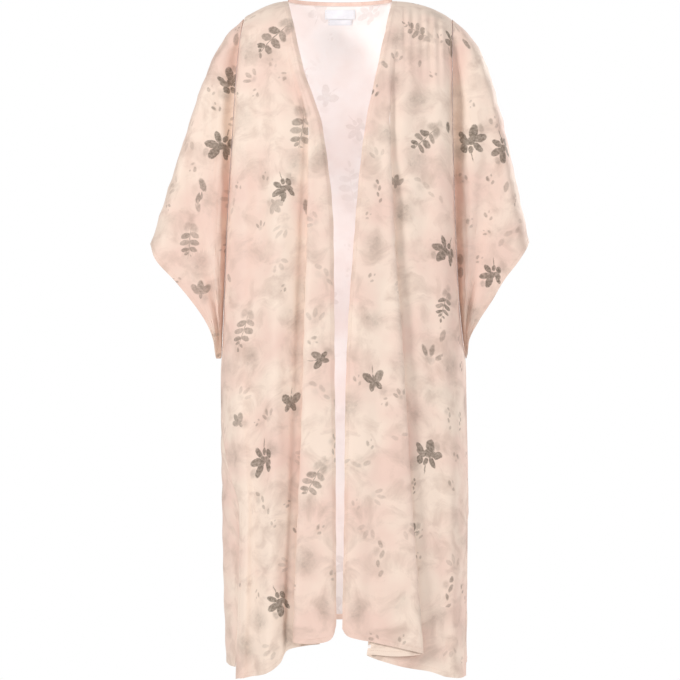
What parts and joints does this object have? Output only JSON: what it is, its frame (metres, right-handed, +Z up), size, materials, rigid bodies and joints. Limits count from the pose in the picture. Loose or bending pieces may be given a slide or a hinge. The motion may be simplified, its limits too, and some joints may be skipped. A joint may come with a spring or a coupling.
{
  "type": "kimono coat",
  "caption": "Knee-length open-front kimono coat of soft printed crepe with wide elbow-length sleeves and side slits, filled out as if worn.",
  "frame": {"origin": "midway between the two points where the shoulder seams meet the neck, where the wearer's shoulders hold the coat", "axes": "+Z up, -Y to the front, +X to the wearer's left"},
  "size_m": [0.6434, 0.2594, 1.1466],
  "materials": {
    "crepe": "soft crepe, mottled cream and pink with a grey-brown leaf print",
    "binding": "plain pink crepe binding",
    "label_satin": "blank white woven satin"
  },
  "bodies": {
    "root": {"back": "crepe", "front_right": "crepe", "front_left": "crepe", "sleeve_right": "crepe", "sleeve_left": "crepe", "neck_binding": "binding", "label": "label_satin", "size_tab": "label_satin"}
  },
  "joints": []
}
